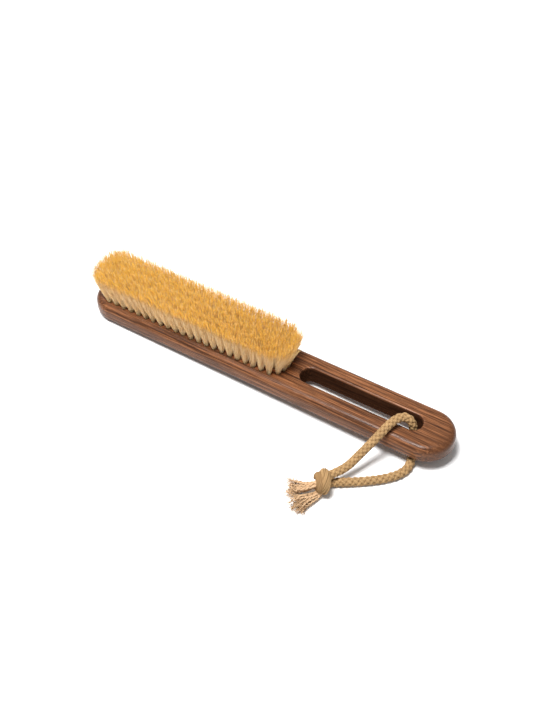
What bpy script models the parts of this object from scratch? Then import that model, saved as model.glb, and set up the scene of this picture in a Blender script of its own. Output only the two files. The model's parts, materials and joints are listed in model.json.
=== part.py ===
"""Clothes brush with a long slotted handle, a hand-drawn bristle field and a rope loop.

The brush lies on its back, bristles up, with the handle's end propped on the rope that
passes under its front rail. Metres, +Z up, +X towards the handle's end. The origin is on
the floor, under the middle of the brush without its rope.
"""

import math

import bmesh
import bpy
from mathutils import Matrix, Vector

MM = 0.001

# The wooden body: two boards glued back to back and shaped as one.
LENGTH = 350 * MM
WIDTH = 48 * MM
THICKNESS = 18 * MM
EDGE_RADIUS = 6.5 * MM
EDGE_STEPS = 4
END_STEPS = 14  # segments in each round end
COVER_THICKNESS = 5 * MM
CLEARANCE = 0.3 * MM

# The slot through the handle.
SLOT_LENGTH = 113 * MM
SLOT_WIDTH = 16 * MM
SLOT_TO_END = 28.5 * MM  # wood left between the slot and the handle's end
SLOT_RIM = 2.5 * MM
SLOT_STEPS = 10

# The bristle field: straight ranks across the brush, and a bowed rank at each end.
ROW_COUNT = 5
ROW_PITCH = 7.6 * MM
RANK_COUNT = 22
RANK_PITCH = 7.86 * MM
FIRST_RANK_TO_END = 21 * MM
END_RANK_GAP = 6.4 * MM
END_RANK_BOW = 2.6 * MM
END_ROW_PITCH = 5.75 * MM
TUFT_RADIUS = 2.0 * MM
TUFT_SIDES = 6
HOLE_CLEARANCE = 0.4 * MM
BRISTLE_HEIGHT = 28 * MM  # above the wood
MERGE_HEIGHT = 12 * MM  # where neighbouring tufts close up
MERGE_RADIUS = 3.6 * MM
TIP_RADIUS = 3.8 * MM
LEAN_MOST = 6.2 * MM
LEAN_REACH = 45 * MM
UPRIGHT_TO_END = 127 * MM
SIDE_FAN = 1.28  # how much wider the field is at its tips than at its roots

# The wires that draw each row's tufts into the block, in a pocket of the cover.
WIRE_RADIUS = 0.4 * MM
POCKET_DEPTH = 1.5 * MM
POCKET_MARGIN = 2.4 * MM  # from the outermost holes to the pocket's wall

# The rope loop, knot and tails, where they lie on the floor.
ROPE_RADIUS = 3.9 * MM
ROPE_SETTLING = 0.4 * MM  # room between the rope and the rail above it
RAIL_CROSSING_X = 143 * MM
ROPE_POINT_GAP = 5 * MM
ROPE_ROUTE_MM = [
    (104.4, -71.9, 12.1),
    (108.8, -63.4, 11.9),
    (112.0, -56.4, 13.4),
    (114.8, -49.2, 17.0),
    (118.1, -39.6, 21.4),
    (121.2, -31.2, 25.8),
    (123.3, -24.7, 29.4),
    (125.4, -16.6, 31.6),
    (128.3, -9.3, 32.7),
    (132.0, -4.9, 32.6),
    (135.8, -3.3, 30.8),
    (138.8, -2.9, 26.5),
    (140.4, -2.8, 20.8),
    (140.9, -2.7, 15.4),
    (140.9, -2.7, 10.9),
    (141.4, -3.5, 7.4),
    (142.5, -5.9, 4.84),
    (143.9, -9.2, 3.9),
    (147.0, -15.4, 3.9),
    (149.2, -21.2, 3.9),
    (150.0, -26.1, 3.9),
    (149.7, -30.7, 3.9),
    (148.1, -35.3, 3.9),
    (145.6, -39.8, 3.9),
    (141.9, -44.4, 3.9),
    (137.3, -49.3, 3.9),
    (132.1, -53.9, 3.9),
    (126.8, -58.3, 3.9),
    (121.0, -62.6, 3.9),
    (115.7, -66.4, 3.9),
    (110.8, -69.7, 3.9),
    (105.6, -73.1, 3.9),
]
KNOT_CENTRE_MM = (100.6, -80.6, 9.9)
KNOT_HALF_SIZE_MM = (7.2, 11.0, 9.7)  # along its heading, across it and up
KNOT_HEADING = math.radians(215)
TAIL_RADII_MM = (3.4, 3.8, 4.8, 5.8)
TAIL_ROUTES_MM = (
    ((96.8, -86.6, 8.8), (91.6, -91.0, 7.5), (86.0, -94.2, 6.5), (79.8, -96.9, 6.2)),
    ((102.4, -88.8, 4.3), (99.8, -95.2, 4.5), (96.4, -102.2, 5.2), (93.0, -110.6, 6.1)),
)

# Places that follow from the sizes above.
LEFT_END = -LENGTH / 2
SLOT_CENTRE = LENGTH / 2 - SLOT_TO_END - SLOT_LENGTH / 2
FIRST_RANK = LEFT_END + FIRST_RANK_TO_END
LAST_RANK = FIRST_RANK + (RANK_COUNT - 1) * RANK_PITCH
UPRIGHT_RANK = LEFT_END + UPRIGHT_TO_END
BLOCK_BOTTOM = COVER_THICKNESS + CLEARANCE
HOLE_RADIUS = TUFT_RADIUS + HOLE_CLEARANCE
REST_X = LENGTH / 2 - EDGE_RADIUS  # the back's far edge, which meets the floor
REST_TILT = math.asin((2 * ROPE_RADIUS + ROPE_SETTLING) / (RAIL_CROSSING_X + REST_X))

WOOD_BROWN = (0.16, 0.075, 0.042)
COVER_BROWN = (0.13, 0.06, 0.034)
BRISTLE_GOLD = (0.78, 0.42, 0.11)
WIRE_BRASS = (0.72, 0.53, 0.24)
ROPE_HEMP = (0.52, 0.37, 0.18)
TAIL_HEMP = (0.62, 0.45, 0.30)


# Helpers


def clear_scene():
    for item in list(bpy.data.objects):
        bpy.data.objects.remove(item, do_unlink=True)


def make_collection(name):
    collection = bpy.data.collections.new(name)
    bpy.context.scene.collection.children.link(collection)
    return collection


def add_piece(name, data, collection, colour, roughness, metallic=0.0, parent=None):
    """A sub-part: one named object with its own material."""
    material = bpy.data.materials.new(name)
    material.use_nodes = True
    shader = material.node_tree.nodes["Principled BSDF"]
    shader.inputs["Base Color"].default_value = (*colour, 1.0)
    shader.inputs["Roughness"].default_value = roughness
    shader.inputs["Metallic"].default_value = metallic
    data.materials.append(material)
    piece = bpy.data.objects.new(name, data)
    piece.parent = parent
    collection.objects.link(piece)
    return piece


def add_cutter(name, data, collection, parent=None):
    cutter = bpy.data.objects.new(name, data)
    cutter.parent = parent
    cutter.hide_render = True
    cutter.display_type = "WIRE"
    collection.objects.link(cutter)
    return cutter


def add_boolean(piece, other, operation="DIFFERENCE"):
    modifier = piece.modifiers.new(other.name, "BOOLEAN")
    modifier.object = other
    modifier.operation = operation
    modifier.solver = "EXACT"


def finish_mesh(name, solid):
    bmesh.ops.recalc_face_normals(solid, faces=solid.faces)
    mesh = bpy.data.meshes.new(name)
    solid.to_mesh(mesh)
    solid.free()
    return mesh


def loft(solid, rings):
    """One closed solid through outlines that have the same number of corners."""
    levels = [[solid.verts.new(point) for point in ring] for ring in rings]
    count = len(levels[0])
    solid.faces.new(reversed(levels[0]))
    solid.faces.new(levels[-1])
    for low, high in zip(levels, levels[1:]):
        for here in range(count):
            after = (here + 1) % count
            solid.faces.new((low[here], low[after], high[after], high[here]))


def stadium(centre_x, length, width, height, steps):
    """Outline with round ends, as corners at one height."""
    ring = []
    radius = width / 2
    for side in (1, -1):
        for step in range(steps + 1):
            angle = math.pi * (step / steps - side / 2)
            x = centre_x + side * (length / 2 - radius) + radius * math.cos(angle)
            ring.append((x, radius * math.sin(angle), height))
    return ring


def stadium_prism(name, centre_x, length, width, low, high):
    solid = bmesh.new()
    loft(solid, [stadium(centre_x, length, width, z, SLOT_STEPS) for z in (low, high)])
    return finish_mesh(name, solid)


def box_mesh(name, low, high):
    solid = bmesh.new()
    bmesh.ops.create_cube(solid, size=1.0)
    size = Vector(high) - Vector(low)
    bmesh.ops.scale(solid, vec=size, verts=solid.verts)
    bmesh.ops.translate(solid, vec=Vector(low) + size / 2, verts=solid.verts)
    return finish_mesh(name, solid)


# Wooden body


def body_mesh(name):
    """The shaped body, with no slot, holes or seam yet."""
    rings = []
    for step in range(EDGE_STEPS + 1):
        turn = math.pi / 2 * step / EDGE_STEPS
        inset = EDGE_RADIUS * (1 - math.sin(turn))
        height = EDGE_RADIUS * (1 - math.cos(turn))
        rings.append(stadium(0, LENGTH - 2 * inset, WIDTH - 2 * inset, height, END_STEPS))
    rings += [[(x, y, THICKNESS - z) for x, y, z in ring] for ring in reversed(rings)]
    solid = bmesh.new()
    loft(solid, rings)
    # An edge across both flat faces parts the brush's half from the handle's half.
    bmesh.ops.bisect_plane(
        solid,
        geom=solid.verts[:] + solid.edges[:] + solid.faces[:],
        plane_co=(SLOT_CENTRE - SLOT_LENGTH / 2 - SLOT_RIM, 0, 0),
        plane_no=(1, 0, 0),
    )
    return finish_mesh(name, solid)


def add_board(name, colour, slot, spare, collection, frame):
    """The whole body with its slot and rounded slot rim, less the other board."""
    board = add_piece(name, body_mesh(name), collection, colour, 0.45, parent=frame)
    add_boolean(board, slot)
    rim = board.modifiers.new("slot_rim", "BEVEL")
    rim.width = SLOT_RIM
    rim.segments = 3
    rim.limit_method = "ANGLE"
    rim.angle_limit = math.radians(75)
    add_boolean(board, spare)
    return board


def add_body(pieces, cutters, frame):
    above = THICKNESS + LENGTH
    slot_mesh = stadium_prism(
        "slot_cutter", SLOT_CENTRE, SLOT_LENGTH, SLOT_WIDTH, -THICKNESS, 2 * THICKNESS
    )
    slot = add_cutter("slot_cutter", slot_mesh, cutters, frame)
    low_box = box_mesh("below_block", (-LENGTH, -LENGTH, -LENGTH), (LENGTH, LENGTH, BLOCK_BOTTOM))
    below = add_cutter("below_block", low_box, cutters, frame)
    high_box = box_mesh("above_cover", (-LENGTH, -LENGTH, COVER_THICKNESS), (LENGTH, LENGTH, above))
    over = add_cutter("above_cover", high_box, cutters, frame)

    block = add_board("handle_block", WOOD_BROWN, slot, below, pieces, frame)
    holes = bmesh.new()
    for x, y in (root for rank in tuft_roots() for root in rank):
        loft(holes, [tuft_ring(x, y, z, HOLE_RADIUS) for z in (0, THICKNESS + COVER_THICKNESS)])
    add_boolean(block, add_cutter("tuft_holes", finish_mesh("tuft_holes", holes), cutters, frame))

    cover = add_board("back_cover", COVER_BROWN, slot, over, pieces, frame)
    first_hole = min(x for x, _ in tuft_roots()[0])
    last_hole = max(x for x, _ in tuft_roots()[-1])
    pocket_mesh = stadium_prism(
        "wire_pocket",
        (first_hole + last_hole) / 2,
        last_hole - first_hole + 2 * (HOLE_RADIUS + POCKET_MARGIN),
        (ROW_COUNT - 1) * ROW_PITCH + 2 * HOLE_RADIUS,
        COVER_THICKNESS - POCKET_DEPTH,
        2 * THICKNESS,
    )
    add_boolean(cover, add_cutter("wire_pocket", pocket_mesh, cutters, frame))


# Bristles


def tuft_roots():
    """Where the tufts stand, one list of (x, y) for each rank, free end first."""
    rows = [row - (ROW_COUNT - 1) / 2 for row in range(ROW_COUNT)]
    ranks = []
    for rank in range(RANK_COUNT):
        ranks.append([(FIRST_RANK + rank * RANK_PITCH, row * ROW_PITCH) for row in rows])
    return [end_rank(rows, FIRST_RANK, -1), *ranks, end_rank(rows, LAST_RANK, 1)]


def end_rank(rows, beside, side):
    bow = [1 - (row / rows[-1]) ** 2 for row in rows]
    return [
        (beside + side * (END_RANK_GAP + END_RANK_BOW * share), row * END_ROW_PITCH)
        for row, share in zip(rows, bow)
    ]


def rank_borders():
    """Places along the brush where one rank ends and the next begins."""
    inner = [FIRST_RANK + (rank + 0.5) * RANK_PITCH for rank in range(RANK_COUNT - 1)]
    return [FIRST_RANK - END_RANK_GAP / 2, *inner, LAST_RANK + END_RANK_GAP / 2]


def leaned(x, y, height):
    """Where a bristle rooted at (x, y) has got to at a height above the wood."""
    share = height / BRISTLE_HEIGHT
    forward = share * LEAN_MOST * math.tanh((x - UPRIGHT_RANK) / LEAN_REACH)
    return x + forward, y * (1 + (SIDE_FAN - 1) * share)


def tuft_ring(x, y, height, radius):
    """A tuft's outline, flat towards the ranks on either side."""
    turns = [math.tau * (corner + 0.5) / TUFT_SIDES for corner in range(TUFT_SIDES)]
    return [(x + radius * math.cos(turn), y + radius * math.sin(turn), height) for turn in turns]


def closed_up_radius(roots):
    """A tuft's radius where it meets the next tuft of its rank."""
    pitch = leaned(*roots[1], MERGE_HEIGHT)[1] - leaned(*roots[0], MERGE_HEIGHT)[1]
    return min(MERGE_RADIUS, (pitch - CLEARANCE) / 2)


def tufts_mesh(name, roots):
    """A stub in each hole, flaring to where the tufts close up."""
    closed = MERGE_HEIGHT + 2 * CLEARANCE
    solid = bmesh.new()
    for x, y in roots:
        rings = [tuft_ring(x, y, z, TUFT_RADIUS) for z in (BLOCK_BOTTOM, THICKNESS)]
        top = leaned(x, y, closed)
        rings.append(tuft_ring(*top, THICKNESS + closed, closed_up_radius(roots)))
        loft(solid, rings)
    return finish_mesh(name, solid)


def brush_mesh(name, roots, near, far):
    """The closed-up bristles of one rank, between its borders with the ranks beside it."""
    rings = []
    for height, radius in ((MERGE_HEIGHT, closed_up_radius(roots)), (BRISTLE_HEIGHT, TIP_RADIUS)):
        places = [leaned(x, y, height) for x, y in roots]
        half = places[-1][1] + radius + CLEARANCE
        if near is None:
            left = [(x - radius, y) for x, y in places]
        else:
            border = leaned(near, 0, height)[0] + CLEARANCE / 2
            left = [(border, -half), (border, half)]
        if far is None:
            right = [(x + radius, y) for x, y in places]
        else:
            border = leaned(far, 0, height)[0] - CLEARANCE / 2
            right = [(border, -half), (border, half)]
        rings.append([(x, y, THICKNESS + height) for x, y in right + left[::-1]])
    solid = bmesh.new()
    loft(solid, rings)
    return finish_mesh(name, solid)


def add_bristles(pieces, cutters, frame):
    ranks = tuft_roots()
    borders = [None, *rank_borders(), None]
    for number, (roots, near, far) in enumerate(zip(ranks, borders, borders[1:]), start=1):
        name = f"bristle_rank_{number:02d}"
        mesh = brush_mesh(name, roots, near, far)
        rank = add_piece(name, mesh, pieces, BRISTLE_GOLD, 0.8, parent=frame)
        tufts = tufts_mesh(f"tufts_{number:02d}", roots)
        add_boolean(rank, add_cutter(f"tufts_{number:02d}", tufts, cutters, frame), "UNION")


def add_wires(pieces, frame):
    """One wire along each row, under the tufts' folded roots."""
    ranks = tuft_roots()
    height = COVER_THICKNESS - POCKET_DEPTH / 2
    for row in range(ROW_COUNT):
        y = ranks[1][row][1]
        name = f"drawing_wire_{row + 1}"
        points = [(ranks[1][row][0], y, height), (ranks[-2][row][0], y, height)]
        wire = tube_curve(name, points, [WIRE_RADIUS, WIRE_RADIUS])
        add_piece(name, wire, pieces, WIRE_BRASS, 0.35, 1.0, parent=frame)


# Rope


def smooth_points(route_mm, gap):
    """Evenly spaced points along a Catmull-Rom curve through the route."""
    route = [Vector(point) * MM for point in route_mm]
    route = [2 * route[0] - route[1], *route, 2 * route[-1] - route[-2]]
    fine = []
    fine_steps = 12
    for before, start, end, after in zip(route, route[1:], route[2:], route[3:]):
        for step in range(fine_steps):
            t = step / fine_steps
            fine.append(
                start
                + (end - before) * (t / 2)
                + (2 * before - 5 * start + 4 * end - after) * (t**2 / 2)
                + (3 * start - before - 3 * end + after) * (t**3 / 2)
            )
    fine.append(route[-2])
    reached = [0.0]
    for here, there in zip(fine, fine[1:]):
        reached.append(reached[-1] + (there - here).length)
    count = round(reached[-1] / gap)
    points = []
    place = 0
    for number in range(count + 1):
        wanted = reached[-1] * number / count
        while place < len(fine) - 2 and reached[place + 1] < wanted:
            place += 1
        share = (wanted - reached[place]) / (reached[place + 1] - reached[place])
        points.append(fine[place].lerp(fine[place + 1], share))
    return points


def tube_curve(name, points, radii):
    """A filled tube along points, thicker or thinner by its radius at each."""
    curve = bpy.data.curves.new(name, "CURVE")
    curve.dimensions = "3D"
    curve.bevel_depth = radii[0]
    curve.bevel_resolution = 2
    curve.use_fill_caps = True
    spline = curve.splines.new("POLY")
    spline.points.add(len(points) - 1)
    for point, place, radius in zip(spline.points, points, radii):
        point.co = (*place, 1.0)
        point.radius = radius / radii[0]
    return curve


def tube_cutter(name, points, radii, cutters):
    """The room a tube needs: wider and longer than the tube by the clearance."""
    ends = [
        points[0] + (points[0] - points[1]).normalized() * CLEARANCE,
        points[-1] + (points[-1] - points[-2]).normalized() * CLEARANCE,
    ]
    wider = [radius + CLEARANCE for radius in radii]
    curve = tube_curve(name, [ends[0], *points[1:-1], ends[1]], wider)
    guide = bpy.data.objects.new(name, curve)
    cutters.objects.link(guide)
    evaluated = guide.evaluated_get(bpy.context.evaluated_depsgraph_get())
    mesh = bpy.data.meshes.new_from_object(evaluated)
    place = guide.matrix_world.copy()
    bpy.data.objects.remove(guide, do_unlink=True)
    solid = bmesh.new()
    solid.from_mesh(mesh)
    bmesh.ops.remove_doubles(solid, verts=solid.verts, dist=1e-6)
    cutter = add_cutter(name, finish_mesh(name, solid), cutters)
    cutter.matrix_world = place
    return cutter


def knot_mesh(name):
    solid = bmesh.new()
    bmesh.ops.create_uvsphere(solid, u_segments=14, v_segments=9, radius=1.0)
    bmesh.ops.scale(solid, vec=Vector(KNOT_HALF_SIZE_MM) * MM, verts=solid.verts)
    turn = Matrix.Rotation(KNOT_HEADING, 3, "Z")
    bmesh.ops.rotate(solid, cent=(0, 0, 0), matrix=turn, verts=solid.verts)
    bmesh.ops.translate(solid, vec=Vector(KNOT_CENTRE_MM) * MM, verts=solid.verts)
    return finish_mesh(name, solid)


def add_rope(pieces, cutters):
    """The loop through the slot, its knot on the floor, and the two frayed tails."""
    knot = add_piece("rope_knot", knot_mesh("rope_knot"), pieces, ROPE_HEMP, 0.9)
    loop = smooth_points(ROPE_ROUTE_MM, ROPE_POINT_GAP)
    radii = [ROPE_RADIUS] * len(loop)
    add_piece("rope_loop", tube_curve("rope_loop", loop, radii), pieces, ROPE_HEMP, 0.9)
    add_boolean(knot, tube_cutter("rope_loop_room", loop, radii, cutters))
    for number, route in enumerate(TAIL_ROUTES_MM, start=1):
        name = f"rope_tail_{number}"
        points = [Vector(point) * MM for point in route]
        radii = [radius * MM for radius in TAIL_RADII_MM]
        add_piece(name, tube_curve(name, points, radii), pieces, TAIL_HEMP, 0.9)
        add_boolean(knot, tube_cutter(f"{name}_room", points, radii, cutters))


def main():
    clear_scene()
    pieces = make_collection("clothes_brush")
    cutters = make_collection("cutters")
    frame = bpy.data.objects.new("brush_on_its_back", None)
    pieces.objects.link(frame)
    frame.rotation_euler = (0, -REST_TILT, 0)
    frame.location = (THICKNESS / 2 * math.sin(REST_TILT), 0, REST_X * math.sin(REST_TILT))
    add_body(pieces, cutters, frame)
    add_bristles(pieces, cutters, frame)
    add_wires(pieces, frame)
    add_rope(pieces, cutters)


main()
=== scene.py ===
import json
import math

import bmesh
import bpy
import numpy as np
from bpy.props import FloatProperty, FloatVectorProperty, IntProperty, PointerProperty
from mathutils import Matrix, Vector


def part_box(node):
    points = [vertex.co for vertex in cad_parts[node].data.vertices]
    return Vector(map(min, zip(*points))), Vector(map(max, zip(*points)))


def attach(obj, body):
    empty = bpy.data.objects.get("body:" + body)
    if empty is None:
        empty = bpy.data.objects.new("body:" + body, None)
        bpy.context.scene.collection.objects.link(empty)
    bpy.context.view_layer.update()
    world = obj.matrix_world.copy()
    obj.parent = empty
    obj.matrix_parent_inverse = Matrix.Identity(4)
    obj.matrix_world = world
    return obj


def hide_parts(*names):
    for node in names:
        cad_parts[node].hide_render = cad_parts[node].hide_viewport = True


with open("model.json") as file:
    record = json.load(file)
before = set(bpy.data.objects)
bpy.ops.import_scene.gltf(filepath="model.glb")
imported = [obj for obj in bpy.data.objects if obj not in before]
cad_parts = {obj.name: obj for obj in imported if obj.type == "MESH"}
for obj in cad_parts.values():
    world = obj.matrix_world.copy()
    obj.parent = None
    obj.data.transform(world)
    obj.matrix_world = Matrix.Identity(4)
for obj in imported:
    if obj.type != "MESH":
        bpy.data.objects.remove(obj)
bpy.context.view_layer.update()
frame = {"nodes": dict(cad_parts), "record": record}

bl_info = {
    "name": "Clothes brush",
    "version": (1, 0, 0),
    "blender": (4, 5, 0),
    "location": "View3D > Sidebar > Clothes brush",
    "description": "A drawn-bristle clothes brush with a slotted handle and a rope loop",
    "category": "Object",
}

MM = 0.001
POCKET_ROOM = 0.0030  # how much longer and wider the pocket is than its wires
POCKET_DEPTH = 0.0015
DRILL_START = 0.001  # how far below the glued joint the drill's cutter begins
BOARD_GAP = 0.00003  # on each side of the glued joint
GLUE_EDGE = 0.00018  # the eased edge of the glued joint
ROPE_CORE, KNOT_CORE = 0.0016, 0.0026  # radius of the fill inside the strands
HAIR_SEED, ROPE_SEED, KNOT_SEED, WRAP_SEED, TAIL_SEED, FRAY_SEED = 7, 11, 3, 5, 21, 30

# The rope's line, in millimetres: from the knot over the front rail, down through the
# slot, under the rail and back along the floor. Each leg then runs on into the knot.
LEG_OVER = (
    (102.4, -76.6, 11.0), (104.4, -71.9, 12.1), (108.8, -63.4, 11.9), (112.0, -56.4, 13.4),
    (114.8, -49.2, 17.0), (118.1, -39.6, 21.4), (121.2, -31.2, 25.8), (123.3, -24.7, 29.4),
    (125.4, -16.6, 31.6), (128.3, -9.3, 32.7), (132.0, -4.9, 32.6), (135.8, -3.3, 30.8),
    (138.8, -2.9, 26.5), (140.4, -2.8, 20.8), (140.9, -2.7, 15.4),
)
LEG_UNDER = (
    (140.9, -2.7, 10.9), (141.4, -3.5, 7.4), (142.5, -5.9, 4.84), (143.9, -9.2, 3.9),
    (147.0, -15.4, 3.9), (149.2, -21.2, 3.9), (150.0, -26.1, 3.9), (149.7, -30.7, 3.9),
    (148.1, -35.3, 3.9), (145.6, -39.8, 3.9), (141.9, -44.4, 3.9), (137.3, -49.3, 3.9),
    (132.1, -53.9, 3.9), (126.8, -58.3, 3.9), (121.0, -62.6, 3.9), (115.7, -66.4, 3.9),
    (110.8, -69.7, 3.9), (105.6, -73.1, 3.9), (102.6, -76.4, 5.0),
)
SLOT_POINT = Vector(LEG_OVER[-1]) * MM
KNOT_CENTRE = Vector((100.6, -80.6, 9.9)) * MM
KNOT_HEADING = math.radians(215)
TAIL_ROUTES = (
    ((100.2, -82.0, 9.8), (96.8, -86.6, 8.8), (91.6, -91.0, 7.5), (86.0, -94.2, 6.5),
     (79.8, -96.9, 6.2)),
    ((102.6, -83.4, 6.2), (102.4, -88.8, 4.6), (99.8, -95.2, 4.5), (96.4, -102.2, 5.2),
     (93.0, -110.6, 6.1)),
)


def lying():
    """The body's own frame in the scene: on its back, its handle's end propped up."""
    body = bpy.context.scene.brush_body
    axis = frame["record"]["mounts"][0]["axis"]
    tilt = math.atan2(axis[0], -axis[2])
    rest = body.length / 2 - body.edge_radius
    place = Vector((body.thickness / 2 * math.sin(tilt), 0, rest * math.sin(tilt)))
    return Matrix.Translation(place) @ Matrix.Rotation(-tilt, 4, "Y")


# Sizes and colours ------------------------------------------------------------------


def size(name, default, description):
    return FloatProperty(name=name, description=description, default=default,
                         min=0, precision=5, unit="LENGTH", subtype="DISTANCE")


def tint(name, default, description):
    return FloatVectorProperty(name=name, description=description, default=default,
                               size=3, min=0, max=1, subtype="COLOR")


class BrushBodySettings(bpy.types.PropertyGroup):
    """The two boards of the brush, glued back to back and shaped as one."""
    length: size("Length", 0.350, "Brush end to handle end")
    width: size("Width", 0.048, "Across the boards")
    thickness: size("Thickness", 0.018, "Both boards together")
    edge_radius: size("Edge radius", 0.0065, "Rounding of the outer edges")
    cover: size("Cover", 0.005, "Thickness of the back cover")
    slot_length: size("Slot length", 0.113, "Length of the slot in the handle")
    slot_width: size("Slot width", 0.016, "Width of the slot in the handle")
    slot_to_end: size("Wood at the end", 0.0285, "From the slot to the handle's end")
    slot_rim: size("Slot rim", 0.0022, "Rounding of the slot's rims")
    wood: tint("Wood", (0.130, 0.050, 0.021), "Oiled wood between the streaks")
    streak: tint("Light streaks", (0.33, 0.135, 0.058), "Light streaks in the wood")
    vein: tint("Dark veins", (0.024, 0.010, 0.006), "Dark veins and pores in the wood")


class BrushBristleSettings(bpy.types.PropertyGroup):
    """The field of tufts."""
    rows: IntProperty(name="Rows", description="Tufts across", default=5, min=1)
    row_pitch: size("Row pitch", 0.0076, "Between neighbouring rows")
    ranks: IntProperty(name="Ranks", description="Straight ranks", default=22, min=1)
    rank_pitch: size("Rank pitch", 0.00786, "Between neighbouring ranks")
    first_to_end: size("Wood before the field", 0.021, "Brush end to the first rank")
    end_gap: size("End gap", 0.0064, "From the straight ranks to the bowed ones")
    end_bow: size("End bow", 0.0026, "Bow of the end ranks")
    end_row_pitch: size("End row pitch", 0.00575, "Between the tufts of an end rank")
    height: size("Height", 0.0296, "Bristle above the wood")
    root_radius: size("Root radius", 0.0017, "A tuft at its hole")
    hole_radius: size("Hole radius", 0.0024, "A drilled hole")
    tip_radius: size("Tip radius", 0.0047, "A tuft at its tips")
    lean_back: FloatProperty(name="Lean back", default=0.6, min=0, max=1,
                             description="Lean towards the slot over lean away from it")
    splay: size("Splay", 0.008, "How far the loosest hairs hang out over the slot's end")
    wisp: size("Wisp", 0.0018, "How far apart the hairs' tips gather")
    fan: FloatProperty(name="Fan", default=1.17, min=1,
                       description="Width of the field at its tips over its roots")
    lean: size("Lean", 0.0062, "How far the outermost tips lean along the brush")
    lean_reach: size("Lean reach", 0.045, "How gradually the lean grows")
    upright_to_end: size("Upright place", 0.127, "Brush end to the upright tufts")
    hairs: IntProperty(name="Hairs", description="Hairs in a tuft", default=230, min=10)
    hair_radius: size("Hair radius", 0.00016, "A hair at its root")
    root: tint("Root colour", (1.0, 0.85, 0.57), "Bristle near the wood")
    tip: tint("Tip colour", (0.86, 0.57, 0.095), "Bristle at its tips")


class BrushRopeSettings(bpy.types.PropertyGroup):
    """The hemp rope loop."""
    diameter: size("Diameter", 0.0078, "The braided rope")
    strand_radius: size("Strand radius", 0.00158, "One strand of the braid")
    turn: size("Turn", 0.0195, "Length of one turn of a strand")
    hemp: tint("Hemp", (0.43, 0.27, 0.125), "Braided hemp")
    shade: tint("Hemp shade", (0.22, 0.13, 0.055), "Between the fibres")
    frayed: tint("Frayed hemp", (0.66, 0.44, 0.26), "Opened ends")


class BrushStageSettings(bpy.types.PropertyGroup):
    """Floor and light."""
    floor: tint("Floor", (0.91, 0.91, 0.91), "Plain floor")
    dome: FloatProperty(name="Dome", description="Light from all round", default=0.34)
    key: FloatProperty(name="Key", description="Softbox above", default=31, unit="POWER")


# Materials --------------------------------------------------------------------------


class Wiring:
    """Adds nodes to one node tree. A value that is a socket is linked."""

    def __init__(self, tree):
        self.tree = tree

    def node(self, kind, values=None, **settings):
        made = self.tree.nodes.new(kind)
        for name, value in settings.items():
            setattr(made, name, value)
        for key, value in (values or {}).items():
            self.put(made.inputs[key], value)
        return made

    def put(self, socket, value):
        if isinstance(value, bpy.types.NodeSocket):
            self.tree.links.new(value, socket)
        elif isinstance(value, (tuple, list)) and socket.type == "RGBA":
            socket.default_value = (*value[:3], 1)
        else:
            socket.default_value = value

    def math(self, operation, *values, clamp=False):
        made = self.node("ShaderNodeMath", dict(enumerate(values)), operation=operation,
                         use_clamp=clamp)
        return made.outputs[0]

    def vector(self, operation, *values):
        made = self.node("ShaderNodeVectorMath", dict(enumerate(values)),
                         operation=operation)
        return made.outputs[0]

    def noise(self, vector, scale, detail=2.0, roughness=0.5, distortion=0.0):
        made = self.node("ShaderNodeTexNoise", {
            "Vector": vector, "Scale": scale, "Detail": detail,
            "Roughness": roughness, "Distortion": distortion})
        return made.outputs["Fac"]

    def between(self, value, low, high, to_low=0.0, to_high=1.0):
        made = self.node("ShaderNodeMapRange", {
            "Value": value, "From Min": low, "From Max": high,
            "To Min": to_low, "To Max": to_high}, interpolation_type="SMOOTHSTEP")
        return made.outputs[0]

    def blend(self, factor, first, second, mode="MIX"):
        made = self.node("ShaderNodeMix", data_type="RGBA", blend_type=mode)
        self.put(made.inputs["Factor"], factor)
        self.put(made.inputs["A"], first)
        self.put(made.inputs["B"], second)
        return made.outputs["Result"]


def group(name, inputs, outputs):
    """A new shader node group with its wiring, group input and group output."""
    tree = bpy.data.node_groups.new(name, "ShaderNodeTree")
    kinds = {"colour": "NodeSocketColor", "value": "NodeSocketFloat",
             "vector": "NodeSocketVector"}
    for label, kind in inputs.items():
        tree.interface.new_socket(label, in_out="INPUT", socket_type=kinds[kind])
    for label, kind in outputs.items():
        tree.interface.new_socket(label, in_out="OUTPUT", socket_type=kinds[kind])
    wires = Wiring(tree)
    return tree, wires, wires.node("NodeGroupInput").outputs, wires.node("NodeGroupOutput")


TREE_HEART = (62.0, 34.0)  # beside and below the brush, in millimetres
RING_WIDTH, RING_SWAY = 3.4, 9.0


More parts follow.
